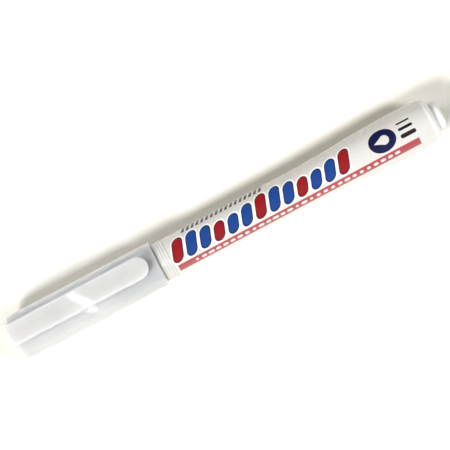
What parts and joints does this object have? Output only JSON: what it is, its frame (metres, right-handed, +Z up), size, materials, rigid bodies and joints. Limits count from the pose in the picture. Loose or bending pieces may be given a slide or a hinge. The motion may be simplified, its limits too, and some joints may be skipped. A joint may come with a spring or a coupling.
{
  "type": "paint marker",
  "caption": "Capped extra-fine paint marker lying on its side: clip cap with an inner seal, slim barrel that swells to a plugged tail, sprung nib valve and a loose mixing ball.",
  "frame": {"origin": "on the table under the middle of the marker's length", "axes": "+X along the marker from the cap to the tail, +Z up through the middle of the pocket clip"},
  "size_m": [0.1386, 0.0138, 0.0163],
  "materials": {
    "barrel_white": "gloss, printed",
    "tail_white": "gloss",
    "cap_white": "satin",
    "liner_plastic": "matte, milky",
    "holder_white": "satin",
    "seal_rubber": "matte",
    "tube_steel": "drawn",
    "nib_fibre": "fibre",
    "valve_plastic": "natural",
    "spring_steel": "drawn wire",
    "ball_steel": "polished"
  },
  "bodies": {
    "barrel": {"barrel": "barrel_white", "tail_plug": "tail_white", "tip_holder": "holder_white", "holder_gasket": "seal_rubber", "nib_tube": "tube_steel", "valve_seat": "seal_rubber", "valve_housing": "valve_plastic", "valve_spring": "spring_steel", "spring_retainer": "valve_plastic"},
    "cap": {"cap": "cap_white", "cap_liner": "liner_plastic"},
    "nib": {"nib": "nib_fibre", "valve_stem": "valve_plastic"},
    "mixing_ball": {"mixing_ball": "ball_steel"}
  },
  "joints": [
    {"name": "cap_pull", "type": "slide", "parent": "barrel", "child": "cap", "axis": [-1, 0, 0], "range_m": [0, 0.05]},
    {"name": "nib_press", "type": "slide", "parent": "barrel", "child": "nib", "axis": [1, 0, 0], "range_m": [0, 0.0012], "stiffness_N_per_m": 300, "springref_m": -0.002, "deforming": ["valve_spring"]},
    {"name": "ball_roll", "type": "slide", "parent": "barrel", "child": "mixing_ball", "axis": [1, 0, 0], "range_m": [0, 0.074]}
  ]
}
